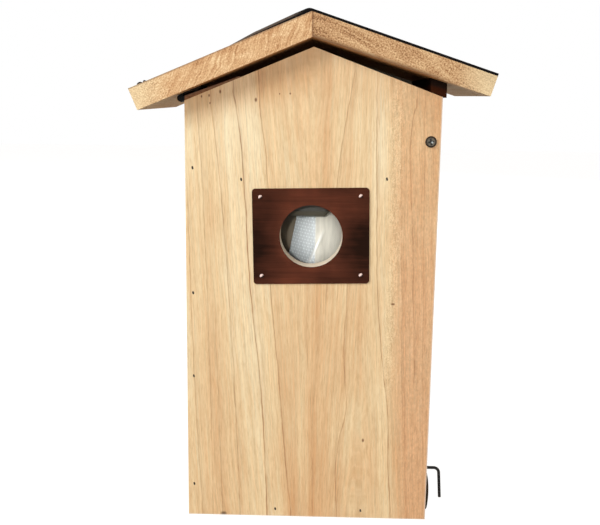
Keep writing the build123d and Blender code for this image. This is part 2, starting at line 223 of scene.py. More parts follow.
def wood(g, place, pith, spacing, tone, seed):
    """Colour, height and pores of solid timber. The place is across, through and along the
    grain. The rings run round a pith line that lies along it, so the long faces get stripes and
    the ends get arcs."""
    across, through, _ = place
    slow = g.stretched(place, (0.02, 0.02, 0.006), 2.0, 0.5, seed)
    away = g.add(g.sub(across, pith[0]), g.swing(slow, 26.0))
    radius = g.length(away, g.sub(through, pith[1]))
    wobble = g.stretched(place, (0.25, 0.25, 0.02), 3.0, 0.6, seed + 7.0)
    turn = g.math("FRACT", g.add(g.mul(radius, 1.0 / spacing), g.mul(wobble, 1.3)))
    late = g.most(g.span(turn, 0.45, 0.93, 0.0, 1.0, True), g.span(turn, 0.0, 0.08, 1.0, 0.0))
    late = g.math("MINIMUM", late, g.span(turn, 0.93, 1.0, 1.0, 0.6))
    fibre = g.stretched(place, (1.5, 1.5, 0.05), 3.0, 0.65, seed + 3.0)
    pores = g.span(g.stretched(place, (2.6, 2.6, 0.22), 2.0, 0.5, seed + 11.0), 0.56, 0.68)
    bands = g.stretched(place, (0.05, 0.05, 0.004), 2.0, 0.5, seed + 19.0)
    amount = g.add(g.swing(bands, 1.5), g.add(g.mul(late, 0.30), tone - 0.15))
    amount = g.add(amount, g.swing(fibre, 0.9))
    colour = g.ramp(g.mul(amount, 0.5), (0.0, CREAM), (0.28, HONEY), (0.62, ORANGE), (1.0, BARK))
    height = g.sub(fibre, g.mul(pores, 0.8))
    return g.shade(colour, g.sub(1.0, g.mul(pores, 0.22))), height, pores


def spots(g, places):
    """Small marks on a face, as 1 on a mark and 0 off it. Each is (x, z, half width, half
    height)."""
    x, _, z = g.xyz
    marks = 0.0
    for spot_x, spot_z, wide, tall in places:
        away = g.length(g.mul(g.sub(x, spot_x), 1 / wide), g.mul(g.sub(z, spot_z), 1 / tall))
        marks = g.most(marks, g.span(away, 0.6, 1.6, 1.0, 0.0))
    return marks


def timber(name, grain, pith, spacing, tone, seed, inner=None, nailed=False):
    """A plain board. Grain names the axes across, through and along it, and inner the axis and the
    sign of the face that looks into the box, which gets painted shade."""
    g = Graph(name)
    place = [g.xyz[axis] for axis in grain]
    colour, height, pores = wood(g, place, pith, spacing, tone, seed)
    ends = g.span(g.size(g.facing[grain[2]]), 0.35, 0.6)
    speck = g.stretched(place, (1.9, 1.9, 0.3), 2.0, 0.6, seed + 31.0)
    end_colour = g.shade(g.mix(0.35, colour, ORANGE), g.span(speck, 0.35, 0.62, 0.62, 1.08))
    colour = g.mix(ends, colour, end_colour)
    if inner:
        axis, sign = inner
        # Painted shade on the face that looks into the box
        inner_shade = g.span(g.mul(g.facing[axis], sign), 0.5, 0.8)
        colour = g.tint(colour, linear(104, 102, 98), inner_shade)
    if nailed:
        heads = spots(g, [(x, z, 0.6, 1.1) for x, z in BRADS])
        colour = g.mix(g.mul(heads, g.span(g.facing["Y"], 0.5, 0.8)), colour, linear(58, 46, 36))
    g.bump(height, 0.12, 0.5)
    return g.finish(colour, g.span(pores, 0.0, 1.0, 0.5, 0.7), 0.3)


def line_at(g, level, points, value, low, high):
    """The value of a curve through given points over a level. Points are (level, value) pairs."""
    made = g.node("ShaderNodeFloatCurve")
    curve = made.mapping.curves[0]
    made.mapping.extend = "HORIZONTAL"
    start, end = level
    knots = [((at - start) / (end - start), (v - low) / (high - low)) for at, v in sorted(points)]
    curve.points[0].location = knots[0]
    curve.points[-1].location = knots[-1]
    for knot in knots[1:-1]:
        curve.points.new(*knot)
    made.mapping.update()
    g.put(g.span(value, start, end), made.inputs["Value"])
    return g.span(made.outputs[0], 0.0, 1.0, low, high)


# The front wall's own board, with the lines, the bands and the marks that it shows

# The long lines, as (points as (z, x), width, strength)
GRAIN_LINES = (
    (((269, -47.4), (249, -43.8), (207, -40.2), (152, -37.0), (92, -30.5), (38, -27.1),
      (3, -25.6)), 0.55, 0.75),
    (((285, -32.5), (253, -30.7), (231, -27.6), (146, -24.0), (92, -18.6), (57, -15.8),
      (3, -10.3)), 0.5, 0.6),
    (((262, -60.5), (214, -55.2), (145, -49.9), (104, -47.5), (38, -44.4), (2, -42.7)), 0.5, 0.45),
    (((200, 20.0), (144, 22.8), (119, 21.5), (90, 22.8), (74, 23.8), (53, 19.8), (37, 18.3),
      (4, 19.0)), 0.5, 0.55),
    (((282, 24.5), (265, 21.7), (242, 18.1), (213, 15.1), (150, 10.0)), 0.5, 0.5),
    (((270, 37.4), (218, 39.0), (150, 41.5), (110, 45.0), (67, 50.4), (40, 51.3), (5, 53.7)),
     0.5, 0.6),
    (((150, 57.0), (139, 57.3), (94, 59.5), (4, 64.0)), 0.6, 0.35),
    (((200, -75.0), (88, -71.5), (51, -69.9), (3, -67.0)), 0.5, 0.4),
    (((117, -58.1), (51, -55.8), (2, -54.1)), 0.5, 0.4),
    (((255, -68.5), (229, -66.6), (180, -64.5), (100, -62.0), (4, -60.5)), 0.5, 0.35),
    (((120, -2.0), (80, 1.0), (40, 3.0), (4, 4.0)), 0.5, 0.3),
    (((262, 61.0), (254, 59.1), (182, 61.8), (100, 66.0)), 0.5, 0.5),
    (((250, 52.5), (150, 56.0), (60, 60.0)), 0.4, 0.35),
    (((262, 66.0), (100, 71.0), (5, 74.5)), 0.4, 0.3),
)
# How far the grain leans, as (x, sideways over height)
LEAN = ((-76, 0.045), (-60, 0.05), (-47, 0.075), (-20, 0.08), (-5, 0.04), (10, -0.03),
        (22, -0.04), (34, 0.02), (46, 0.055), (76, 0.04))
# How dark its wide bands are, as (x, darkness)
BANDS = ((-80, 0.4), (-68, 0.46), (-58, 0.5), (-50, 0.34), (-42, 0.24), (-34, 0.24), (-27, 0.3),
         (-22, 0.5), (-14, 0.6), (-8, 0.52), (0, 0.56), (5, 0.74), (10, 0.6), (18, 0.58),
         (25, 0.52), (36, 0.46), (44, 0.36), (50, 0.6), (56, 0.76), (64, 0.82), (80, 0.86))
# Small dark marks, most of them under the roof, and a chip at the foot
MARKS = ((-66.0, 266.0, 0.4, 0.6), (-61.5, 266.6, 0.4, 0.7), (-54.9, 268.9, 0.5, 0.9),
         (-33.8, 264.4, 0.6, 1.0), (-19.8, 268.1, 0.3, 0.4), (-13.5, 268.3, 0.4, 0.5),
         (-61.0, 262.2, 0.3, 0.5), (35.0, 53.0, 0.6, 1.0), (51.0, 142.0, 1.0, 0.6))
CHIP = (-53.6, 0.9, 1.6, 1.2)


def grain_lines(g):
    """The long lines, each with a soft shade on its right. They fade out past their ends, but
    run through where they end at the board's foot."""
    x, _, z = g.xyz
    shake = g.stretched(g.xyz, (0.2, 0.2, 0.06), 2.0, 0.6, 13.0)
    shaken = g.add(x, g.swing(shake, 1.6))
    lines = 0.0
    for points, width, strength in GRAIN_LINES:
        away = g.sub(shaken, line_at(g, (0, 300), points, z, -80.0, 80.0))
        sharp = g.span(g.size(away), width * 0.25, width, strength, 0.0)
        soft = g.mul(g.span(away, 0.0, 5.0, 1.0, 0.0),
                     g.span(away, -0.3, 0.0, 0.0, 0.25 * strength))
        low, high = min(p[0] for p in points), max(p[0] for p in points)
        held = g.span(z, high, high + 25, 1.0, 0.0)
        if low >= 6:
            held = g.mul(g.span(z, low - 12, low), held)
        lines = g.most(lines, g.mul(g.most(sharp, soft), held))
    broken = g.stretched(g.xyz, (0.5, 0.5, 0.04), 2.0, 0.6, 17.0)
    return g.mul(lines, g.span(broken, 0.3, 0.6, 0.45, 1.0))


def front_board():
    g = Graph("front_wood")
    x, y, z = g.xyz

    # The grain's own place across, which leans and waves
    lean = line_at(g, (-80, 80), LEAN, x, -0.1, 0.1)
    warp = g.stretched(g.xyz, (0.03, 0.03, 0.012), 2.0, 0.5, 3.0)
    u = g.add(x, g.mul(lean, g.sub(z, 150.0)), g.swing(warp, 5.0))
    bent = (u, y, z)
    fibre = g.stretched(bent, (1.0, 1.0, 0.03), 3.0, 0.7, 5.0)
    strokes = g.stretched(bent, (1.3, 1.0, 0.16), 2.0, 0.65, 6.0)
    stripe = g.stretched(bent, (0.3, 0.3, 0.006), 2.0, 0.6, 9.0)
    cloud = g.stretched(bent, (0.05, 0.05, 0.02), 2.0, 0.5, 2.0)
    hair = g.stretched(bent, (1.6, 1.0, 0.022), 2.0, 0.6, 51.0)

    # The wide bands, lighter towards the top
    bands = line_at(g, (-80, 80), BANDS, u, 0.0, 1.0)
    amount = g.add(bands, g.span(z, 0.0, 290.0, 0.2, -0.12), g.swing(fibre, 0.6),
                   g.swing(stripe, 0.6), g.swing(cloud, 0.5))
    colour = g.ramp(amount, (0.0, linear(246, 230, 192)), (0.45, linear(233, 205, 160)),
                    (1.0, linear(214, 168, 120)))
    pink = g.mul(g.span(u, 46.0, 58.0, 0.0, 0.45, True), g.span(z, 150.0, 250.0, 1.0, 0.2))
    colour = g.mix(pink, colour, linear(224, 178, 138))
    lines = grain_lines(g)
    colour = g.mix(g.mul(lines, 1.1), colour, linear(156, 98, 54))

    # Fine strokes along the grain, pores, and flecks on the right
    colour = g.tint(colour, linear(228, 214, 198), g.span(strokes, 0.34, 0.6, 0.4, 0.0))
    colour = g.shade(colour, g.span(fibre, 0.3, 0.7, 0.93, 1.06))
    colour = g.shade(colour, g.span(hair, 0.34, 0.66, 0.925, 1.06))
    pores = g.span(g.stretched(g.xyz, (1.9, 1.6, 0.13), 2.0, 0.55, 23.0), 0.56, 0.68)
    colour = g.tint(colour, linear(190, 160, 130), g.mul(pores, 0.2))
    flecks = g.span(g.stretched(g.xyz, (1.1, 1.0, 0.55), 2.0, 0.6), 0.3, 0.7, -0.11, 0.09)
    colour = g.shade(colour, g.add(1.0, g.mul(g.span(u, 44.0, 56.0), flecks)))

    # A curly streak beside the right third
    edge = g.swing(g.stretched(g.xyz, (0.01, 0.01, 0.05), 2.0, 0.6, 41.0), 10.0)
    near = g.mul(g.span(g.size(g.sub(x, g.add(50.0, edge))), 1.0, 6.0, 1.0, 0.0, True),
                 g.span(z, 70.0, 100.0), g.span(z, 262.0, 285.0, 1.0, 0.35))
    curls = g.stretched(g.xyz, (0.8, 1.0, 0.5), 3.0, 0.65, distortion=1.5)
    light = g.mul(near, g.span(curls, 0.48, 0.6, 0.0, 0.4))
    colour = g.mix(light, colour, linear(250, 226, 180))
    colour = g.shade(colour, g.sub(1.0, g.mul(near, g.span(curls, 0.38, 0.46, 0.12, 0.0))))

    marks = spots(g, MARKS)
    colour = g.mix(g.mul(marks, 0.9), colour, linear(118, 74, 44))
    colour = g.mix(g.mul(spots(g, (CHIP,)), 0.8), colour, linear(70, 48, 32))

    # The roof's brown shade, mostly on the left half
    under = g.sub(g.slant(g.size(x), 0.0, 282.6, -0.2), z)
    shadow = g.mul(g.span(under, 2.0, 26.0, 0.75, 0.0, True), g.span(x, -4.0, 12.0, 1.0, 0.3))
    colour = g.tint(colour, linear(222, 196, 176), shadow)

    # Lighter along the right edge and the foot, the ends of the grain on top and below, and
    # painted light in the bore of the entrance
    rim = g.most(g.span(x, 75.3, 75.9), g.span(z, 0.8, 0.2))
    colour = g.mix(g.mul(rim, 0.5), colour, linear(226, 216, 204))
    ends = g.span(g.size(g.facing["Z"]), 0.5, 0.75)
    outside = g.span(g.size(g.sub(z, HOLE)), 22.0, 24.0)
    colour = g.mix(g.mul(ends, outside), colour, g.shade(colour, 0.72))
    # Painted light: the bore of the entrance is near white, as its lit lower face looks
    bore = g.mul(g.span(g.size(g.facing["Y"]), 0.5, 0.3), g.sub(1.0, outside),
                 g.span(g.size(x), 30.0, 24.0))
    colour = g.mix(g.mul(bore, 0.85), colour, linear(255, 244, 224))

    grooves = g.add(g.mul(pores, 0.8), lines, g.mul(marks, 2.0))
    g.bump(g.sub(g.add(fibre, strokes), grooves), 0.12, 0.5)
    return g.finish(colour, g.span(fibre, 0.3, 0.7, 0.64, 0.52), 0.22)


dress(front_board(), "front_wall")
for node, *look in (
    ("back_wall", "back_wood", "XYZ", (18.0, -10.0), 5.0, 0.42, 50.0, ("Y", -1.0), True),
    ("left_wall", "left_wood", "YXZ", (10.0, -150.0), 5.0, 0.45, 60.0, ("X", 1.0)),
    ("side_door", "door_wood", "YXZ", (-14.0, 150.0), 5.5, 0.5, 70.0),
    ("floor_board", "floor_wood", "YZX", (0.0, 60.0), 5.0, 0.5, 80.0),
    ("camera_shelf", "shelf_wood", "YZX", (0.0, 300.0), 5.0, 0.55, 90.0),
):
    dress(timber(*look), node)


def roof_board(name, angle, seed, right_side):
    """A roof board, with the grain front to back and its slope turned level first. Its ends show
    fine rays on the left board, and arcs and coarser pores on the right one."""
    g = Graph(name)
    x, y, z = g.xyz
    c, s = math.cos(math.radians(angle)), math.sin(math.radians(angle))
    dx, dz = g.sub(x, RIDGE), g.sub(z, 300.0)
    slope = g.add(g.mul(dx, c), g.mul(dz, s))
    up = g.sub(g.mul(dz, c), g.mul(dx, s))
    pith = (60.0, 60.0) if right_side else (-50.0, -14.0)
    colour, height, _ = wood(g, (slope, up, y), pith, 3.0, 0.5, seed)
    ends = g.span(g.size(g.facing["Y"]), 0.5, 0.8)
    out = g.size(dx)

    grit = g.stretched((slope, up, 5.0 + seed), (1.1, 1.1, 1.0), 2.0, 0.7)
    wide = g.stretched((slope, up, 9.0 + seed), (0.05, 0.09, 1.0), 2.0, 0.5)
    if right_side:
        # Arcs that open towards the eave
        radius = g.length(g.mul(g.sub(slope, 6.0), math.sqrt(0.18)), g.add(up, 10.0))
        arcs = g.stretched((radius, slope, seed), (0.5, 0.01, 1.0), 3.0, 0.6)
        across = g.add(g.mul(slope, 0.16), g.mul(up, 0.55))
        far_lines = g.stretched((across, slope, 3.0), (1.0, 0.012, 1.0), 2.0, 0.55)
        tone = g.add(g.swing(arcs, g.span(out, 14.0, 50.0, 1.5, 0.525)),
                     g.swing(far_lines, g.span(out, 60.0, 85.0, 0.1, 1.3)),
                     g.span(out, 6.0, 42.0, 0.16, 0.0), g.swing(grit, 2.4))
        stops = ((0.0, linear(228, 196, 150)), (0.42, linear(198, 158, 114)),
                 (0.72, linear(172, 128, 86)), (1.0, linear(112, 74, 44)))
    else:
        rays = g.sub(g.mul(dx, 1.1), g.mul(dz, g.span(out, 80.0, 10.0, 0.55, 0.3)))
        bent = g.add(rays, g.swing(wide, 9.0))
        hatch = g.stretched((bent, up, seed), (1.0, 0.06, 1.0), 1.0, 0.5)
        cross = g.stretched((slope, up, seed + 4.0), (0.10, 0.3, 1.0), 2.0, 0.55)
        tone = g.add(g.swing(hatch, g.span(out, 78.0, 96.0, 1.2, 0.4)), g.swing(cross, 0.8),
                     g.swing(grit, g.span(out, 78.0, 96.0, 1.5, 3.6)))
        stops = ((0.0, linear(240, 212, 166)), (0.42, linear(212, 170, 124)),
                 (0.75, linear(190, 142, 96)), (1.0, linear(150, 102, 62)))
    end_colour = g.ramp(g.add(tone, g.swing(wide, 0.7), 0.5), *stops)
    end_colour = g.mix(g.span(out, 82.0, 100.0, 0.0, 0.45), end_colour, linear(244, 228, 184))
    if right_side:
        # Painted shade along the lower edge
        low = g.mul(g.span(g.add(up, g.mul(grit, 2.6)), 1.0, 3.8, 0.9, 0.0, True),
                    g.span(out, 66.0, 88.0, 1.0, 0.0))
        end_colour = g.mix(low, end_colour, linear(92, 58, 32))
    else:
        # The cover's shade along the top edge
        end_colour = g.mix(g.span(up, 12.2, 12.7, 0.0, 0.55), end_colour, linear(120, 92, 72))
    colour = g.mix(ends, colour, end_colour)

    # Painted shade on the underside, deeper away from the eaves, and darker along the mitre
    underside_shade = g.mul(g.span(g.facing["Z"], -0.5, -0.8), g.span(out, 70.0, 84.0, 1.0, 0.5))
    colour = g.tint(colour, linear(184, 148, 118), underside_shade)
    mitre = g.mul(g.span(out, 0.15, 0.75, 0.6, 0.0), ends)
    colour = g.mix(mitre, colour, linear(96, 54, 28))
    g.bump(g.add(g.mul(height, g.sub(1.0, ends)), g.mul(grit, ends, 0.9)), 0.16, 0.5)
    return g.finish(colour, 0.66, 0.2)


def strip_finish():
    """Red-brown wood with painted shade: darker all over, and near black along its top in the
    roof's shade.
    """
    g = Graph("strip_wood")
    x, y, z = g.xyz
    colour, height, _ = wood(g, (x, z, y), (60.0, 200.0), 3.0, 1.0, 15.0)
    # Painted shade: the whole strip darkened, and near black along its top
    top = g.span(g.slant(x, 0.0, z, RIGHT_RISE), 294.6, 297.0, 0.0, 0.85, True)
    colour = g.mix(top, g.tint(colour, linear(62, 34, 20)), linear(22, 16, 12))
    g.bump(height, 0.12, 0.5)
    return g.finish(colour, 0.8, 0.05)


dress(roof_board("roof_left_wood", LEFT_SLOPE, 5.0, False), "roof_left_board")
dress(roof_board("roof_right_wood", RIGHT_SLOPE, 25.0, True), "roof_right_board")
dress(strip_finish(), "roof_rest")


# Roof cover, hinges, latch, screws and plate

def sheet_black():
    """Black grit. The folded edge on the left shows a painted grey sheen on its upper part over a
    black line.
    """
    g = Graph("cover_black")
    x, _, z = g.xyz
    grit = g.noise(g.place, 1.6, 2.0, 0.6)
    patch = g.noise(g.place, 0.03, 3.0, 0.6)
    over = g.sub(z, g.slant(x, 0.0, 314.6, LEFT_RISE))
    # Painted sheen: grey on the upper part of the left front edge
    left = g.mul(g.span(g.facing["Y"], -0.2, -0.5), g.span(x, -6.0, -12.0),
                 g.span(over, 1.0, 1.7))
    base = g.ramp(patch, (0.3, linear(12, 10, 10)), (0.7, linear(22, 20, 19)))
    colour = g.mix(g.mul(left, 0.8), base, linear(98, 86, 78))
    colour = g.shade(colour, g.span(grit, 0.3, 0.7, 0.8, 1.2))
    g.bump(grit, 0.15, 0.5)
    return g.finish(colour, g.span(patch, 0.3, 0.7, 0.6, 0.75), 0.03)


def steel(name, base, dark, rough, scale, shine):
    """Metal with blotches and fine scratches."""
    g = Graph(name)
    blotch = g.noise(g.place, scale * 0.25, 3.0, 0.6)
    fine = g.noise(g.place, scale * 4, 3.0, 0.65)
    colour = g.mix(g.span(blotch, 0.38, 0.62), base, dark)
    colour = g.shade(colour, g.span(fine, 0.3, 0.7, 0.82, 1.15))
    g.bump(fine, 0.02, 0.35)
    return g.finish(colour, g.span(g.add(blotch, fine), 0.7, 1.3, rough, rough + 0.18), shine)


def screw_finish():
    """Bronzed steel: a brown rim, worn grey facets, and a black cross with one bright spot."""
    g = Graph("screw_bronze")
    x, _, z = g.xyz
    across, up = g.sub(x, PIVOT[0]), g.sub(z, PIVOT[1])
    reach = g.length(across, up)
    fine = g.noise(g.place, 1.6, 3.0, 0.65)
    colour = g.mix(g.span(fine, 0.35, 0.65), linear(54, 48, 40), linear(122, 114, 98))
    colour = g.mix(g.span(reach, 2.0, 2.7), colour, linear(36, 26, 16))
    # The cross stands turned by 15 degrees
    c, s = 0.966, 0.259
    a = g.size(g.add(g.mul(across, c), g.mul(up, s)))
    b = g.size(g.sub(g.mul(up, c), g.mul(across, s)))
    arm = g.mul(g.span(g.math("MINIMUM", a, b), 0.3, 0.6, 1.0, 0.0),
                g.span(reach, 1.6, 2.1, 1.0, 0.0))
    colour = g.mix(arm, colour, linear(12, 10, 8))
    glint = spots(g, ((70.9, 241.0, 0.5, 0.5),))
    glint = g.mul(glint, g.span(g.facing["Y"], -0.3, -0.6))
    colour = g.mix(glint, colour, linear(206, 214, 212))
    g.bump(fine, 0.03, 0.4)
    return g.finish(colour, g.span(fine, 0.3, 0.7, 0.42, 0.6), 0.2)


def painted_pin_light():
    """Polished domes with a painted highlight towards their upper left and painted shade towards
    their lower right.
    """
    g = Graph("pin_painted_light")
    fine = g.noise(g.place, 2.0, 2.0, 0.6)
    # Painted light and shade by the way each part of the dome faces
    away = g.sub(g.mul(g.facing["X"], 0.8), g.facing["Z"])
    colour = g.mix(g.span(away, -0.35, 0.3), linear(240, 214, 204), linear(48, 24, 16))
    g.bump(fine, 0.01, 0.3)
    return g.finish(g.shade(colour, g.span(fine, 0.3, 0.7, 0.9, 1.1)), 0.35, 0.12)


def brown_leaf(name, upper):
    """A front hinge leaf: black knuckles, and brown plate. The upper leaf has painted shade under
    the roof, black along its top and at half brightness below, and the lower one is a little
    greyer there."""
    g = Graph(name)
    x, _, z = g.xyz
    grain = g.stretched(g.xyz, (0.5, 1.2, 1.6), 3.0, 0.6, 4.0)
    patch = g.noise(g.place, 0.09, 2.0, 0.6)
    colour = g.ramp(g.add(g.mul(grain, 0.6), g.mul(patch, 0.4)), (0.32, linear(88, 52, 30)),
                    (0.5, linear(126, 82, 52)), (0.68, linear(156, 110, 76)))
    if upper:
        # Painted shade under the roof
        under = g.sub(g.slant(x, -HALF_WIDTH, 268.2, LEFT_RISE), z)
        colour = g.mix(g.span(under, 0.5, 1.3), linear(16, 12, 10), g.shade(colour, 0.5))
    else:
        # Its upper edge runs from the barrel's middle to the wall's top
        under = g.sub(g.slant(x, -HALF_WIDTH, 265.6, 0.35), z)
        edge = g.span(under, 0.3, 1.0, 0.3, 0.0)
        colour = g.mix(edge, colour, linear(104, 84, 72))
    knuckle = g.span(x, -76.0, -76.4)
    colour = g.mix(knuckle, colour, linear(12, 11, 11))
    g.bump(grain, 0.06, 0.5)
    return g.finish(colour, 0.65, 0.08)


def plate_finish():
    """Brown metal with smoky patches, brushed across, and darker round the hole."""
    g = Graph("plate_brown")
    x, _, z = g.xyz
    brushed = g.stretched(g.xyz, (0.05, 1.0, 2.3), 3.0, 0.65, 8.0)
    strokes = g.stretched(g.xyz, (0.012, 0.5, 0.5), 3.0, 0.6, 28.0)
    smoke = g.stretched(g.xyz, (0.032, 0.03, 0.045), 3.0, 0.55)
    # Darker to the left and right, most at mid height: smoky tone, with painted sheen that leaves
    # the middle lighter
    sides = g.mul(g.span(g.size(x), 14.0, 33.0),
                  g.span(g.size(g.sub(z, 178.0)), 4.0, 24.0, 0.75, 0.1875))
    amount = g.add(g.swing(smoke, 1.5), sides, g.swing(strokes, 0.5), 0.3)
    colour = g.ramp(amount, (0.0, linear(102, 54, 38)), (0.4, linear(79, 43, 31)),
                    (1.0, linear(38, 23, 17)))
    colour = g.shade(colour, g.span(brushed, 0.3, 0.7, 0.84, 1.14))
    ring = g.length(x, g.sub(z, HOLE))
    colour = g.shade(colour, g.span(ring, 19.0, 30.0, 0.8, 1.0, True))
    g.bump(brushed, 0.015, 0.4)
    return g.finish(colour, g.span(brushed, 0.3, 0.7, 0.5, 0.62), 0.0)


dress(sheet_black(), "roof_cover")
dress(steel("hinge_black", linear(14, 13, 13), linear(28, 25, 22), 0.6, 0.8, 0.1),
      "hinge_front_pin", "hinge_rear_wall_leaf", "hinge_rear_roof_leaf", "hinge_rear_pin")
dress(screw_finish(), "pivot_screw_front", "pivot_screw_back")
dress(steel("hook_black", linear(30, 27, 23), linear(14, 13, 12), 0.45, 1.0, 0.15), "latch_hook")
dress(steel("latch_brown", linear(36, 27, 20), linear(52, 38, 27), 0.5, 1.0, 0.12), "latch_plate")
dress(painted_pin_light(), "plate_pins")
dress(brown_leaf("hinge_wedge", False), "hinge_front_wall_leaf")
dress(brown_leaf("hinge_brown", True), "hinge_front_roof_leaf")
dress(plate_finish(), "entrance_plate")


# Camera in the box

def plastic(name, base, light, rough, worn=None):
    """Plain plastic. Worn is a lighter colour for what faces down: painted light on faces in
    shade.
    """
    g = Graph(name)
    fine = g.noise(g.place, 2.0, 2.0, 0.6)
    soft = g.noise(g.place, 0.075, 2.0, 0.6)
    colour = g.mix(g.span(soft, 0.35, 0.65), base, light)
    colour = g.shade(colour, g.span(fine, 0.3, 0.7, 0.93, 1.06))
    if worn:
        # Painted light on the faces that look down
        colour = g.mix(g.span(g.facing["Z"], -0.15, -0.4), colour, worn)
    g.bump(fine, 0.03, 0.4)
    return g.finish(colour, g.span(fine, 0.3, 0.7, rough, rough + 0.12), 0.4)


dress(plastic("camera_dark", linear(58, 56, 48), linear(50, 46, 40), 0.6, linear(88, 84, 72)),
      "camera_housing")
dress(plastic("bezel_black", linear(26, 26, 27), linear(36, 36, 36), 0.35), "camera_bezel")
dress(plastic("lens_dark", linear(12, 14, 20), linear(20, 20, 30), 0.06), "camera_lens")


def stand(name, data):
    """A new object in the scene."""
    made = bpy.data.objects.new(name, data)
    bpy.context.scene.collection.objects.link(made)
    return made


def piece(name, points, faces, body, slot, material):
    """A new piece that rides on a body. Points are millimetres from the middle of the walls."""
    mesh = bpy.data.meshes.new(name)
    mesh.from_pydata([((x + MIDDLE) / 1000, y / 1000, z / 1000) for x, y, z in points], [], faces)
    mesh.polygons.foreach_set("use_smooth", [True] * len(faces))
    mesh.materials.append(material)
    made = stand(name, mesh)
    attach(made, body)
    return made


# The mesh sheet, with one soft upright fold, a small one that crosses it, and a slanting left
# edge. It has WIDE points across and TALL points up on each of its two sides.

SHEET_LOW, SHEET_HIGH = 10.0, 209.5
SHEET_LEFT, SHEET_RIGHT = -17.8, 53.0
SHEET_BACK, SHEET_FOLD = FACE + 110.0, FACE + 79.0
SHEET_THICK = 0.8
FOLD_X = 2.3
CROSS_X, CROSS_Z, CROSS_LEAN = -1.8, 152.2, 0.446
CROSS_LOW, CROSS_HIGH = 140.0, 176.0
WIDE, TALL = 97, 101


def sheet_left(z):
    """The sheet's left edge leans in towards its top."""
    return SHEET_LEFT + 6.0 * min(max((z - 150.0) / 30.0, 0.0), 1.0)


def sheet_depth(x, z):
    """How far back the sheet's front stands."""
    reach = FOLD_X + 18.0 if x < FOLD_X else SHEET_RIGHT - FOLD_X
    back = SHEET_FOLD + abs(x - FOLD_X) / reach * (SHEET_BACK - SHEET_FOLD)
    back += 1.5 * math.exp(-((x - FOLD_X) / 2.5) ** 2)
    if CROSS_LOW < z < CROSS_HIGH:
        line = CROSS_X + CROSS_LEAN * (z - CROSS_Z)
        fade = min((CROSS_HIGH - z) / 8.0, (z - CROSS_LOW) / 8.0, 1.0)
        back -= 1.3 * fade * math.exp(-((x - line) / 1.3) ** 2)
    return min(back + 0.25 * math.sin(x * 0.5 + z * 0.09), SHEET_BACK)


def sheet_points(behind):
    points = []
    for j in range(TALL):
        z = SHEET_LOW + (SHEET_HIGH - SHEET_LOW) * j / (TALL - 1)
        left = sheet_left(z)
        for i in range(WIDE):
            x = left + (SHEET_RIGHT - left) * i / (WIDE - 1)
            points.append((x, sheet_depth(x, z) + behind, z))
    return points


def sheet_faces():
    """The faces of the sheet's front, of its back, and of the rim between them."""
    count = WIDE * TALL
    corners = [j * WIDE + i for j in range(TALL - 1) for i in range(WIDE - 1)]
    faces = [(a, a + 1, a + WIDE + 1, a + WIDE) for a in corners]
    faces += [tuple(count + corner for corner in quad[::-1]) for quad in faces]
    rim = list(range(WIDE))
    rim += [j * WIDE + WIDE - 1 for j in range(1, TALL)]
    rim += [(TALL - 1) * WIDE + i for i in range(WIDE - 2, -1, -1)]
    rim += [j * WIDE for j in range(TALL - 2, 0, -1)]
    return faces + [(a, a + count, b + count, b) for a, b in zip(rim, rim[1:] + rim[:1])]


def mesh_white():
    """White plastic: round knots in rows left of the fold, and a fine weave right of it."""
    g = Graph("mesh_white")
    x, _, z = g.xyz
    left = g.span(x, 1.6, 2.8, 1.0, 0.0)
    pitch = 2.3
    row = g.math("FLOOR", g.mul(z, 1 / pitch))
    shift = g.mul(g.math("FRACT", g.mul(row, 0.5)), pitch)
    cell_x = g.sub(g.math("FRACT", g.mul(g.add(g.mul(x, 1.15), shift), 1 / pitch)), 0.5)
    cell_z = g.sub(g.math("FRACT", g.mul(z, 1 / pitch)), 0.5)
    reach = g.length(cell_x, g.mul(cell_z, math.sqrt(1.6)))
    knot = g.span(reach, 0.12, 0.42, 1.0, 0.0, True)
    weave = g.mul(g.math("SINE", g.mul(x, 5.2)), g.math("SINE", g.mul(z, 5.2)))
    blue = g.shade(linear(232, 238, 238), g.add(0.84, g.mul(knot, 0.26)))
    beige = g.shade(linear(202, 198, 184), g.add(1.0, g.mul(weave, 0.07)))
    colour = g.mix(left, beige, blue)

    # A painted highlight along the small fold, painted shade in the upright fold, and soft clouds
    line = g.slant(z, CROSS_Z, CROSS_X, CROSS_LEAN)
    near = g.mul(g.span(g.size(g.sub(x, line)), 0.3, 1.7, 1.0, 0.0, True),
                 g.span(z, 176.0, 166.0), g.span(z, 138.0, 146.0))
    colour = g.mix(g.mul(near, 0.6), colour, linear(250, 250, 244))
    crease_shade = g.mul(g.span(g.size(g.sub(x, 3.4)), 0.6, 2.6, 1.0, 0.0, True),
                   g.span(z, 166.0, 174.0))
    colour = g.shade(colour, g.sub(1.0, g.mul(crease_shade, 0.2)))
    cloud = g.stretched(g.xyz, (0.12, 1.0, 0.09), 2.0, 0.5)
    colour = g.shade(colour, g.span(cloud, 0.35, 0.65, 0.92, 1.06))
    g.bump(g.add(g.mul(knot, left), g.mul(weave, 0.2)), 0.3, 0.6)
    return g.finish(colour, 0.5, 0.3)


sheet = piece("mesh_sheet", sheet_points(0.0) + sheet_points(SHEET_THICK), sheet_faces(),
              "box", "mesh_plastic", mesh_white())
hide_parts("climbing_mesh")


# Small heads: the brads, the hinges' screws, and two tacks on the left eave

RINGS = 3


